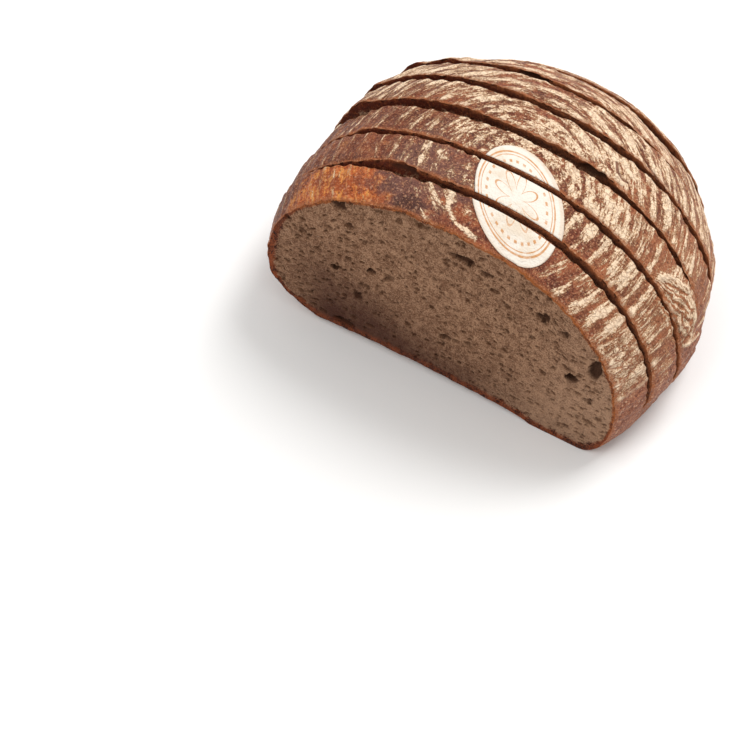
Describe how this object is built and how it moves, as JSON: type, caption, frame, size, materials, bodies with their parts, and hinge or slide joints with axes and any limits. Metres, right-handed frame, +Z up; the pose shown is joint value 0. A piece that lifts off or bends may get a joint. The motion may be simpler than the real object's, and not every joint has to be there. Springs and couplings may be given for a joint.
{
  "type": "sourdough loaf",
  "caption": "Round sourdough loaf, cut open at the front and sliced, its leaning slices still standing together, with a plain oval wafer across the floury crown.",
  "frame": {"origin": "middle of the loaf's box, on the base it stands on", "axes": "+X along the cuts, to the right seen from the open front; +Y from the open front to the heel; +Z up"},
  "size_m": [0.203, 0.1526, 0.1022],
  "materials": {
    "bread": "matte floury baked crust over a beige crumb",
    "wafer": "matte pressed wafer with tan print"
  },
  "bodies": {
    "root": {"slice_1": "bread", "slice_2": "bread", "slice_3": "bread", "slice_4": "bread", "slice_5": "bread", "slice_6": "bread", "slice_7": "bread", "wafer_1": "wafer", "wafer_2": "wafer", "wafer_3": "wafer"}
  },
  "joints": []
}
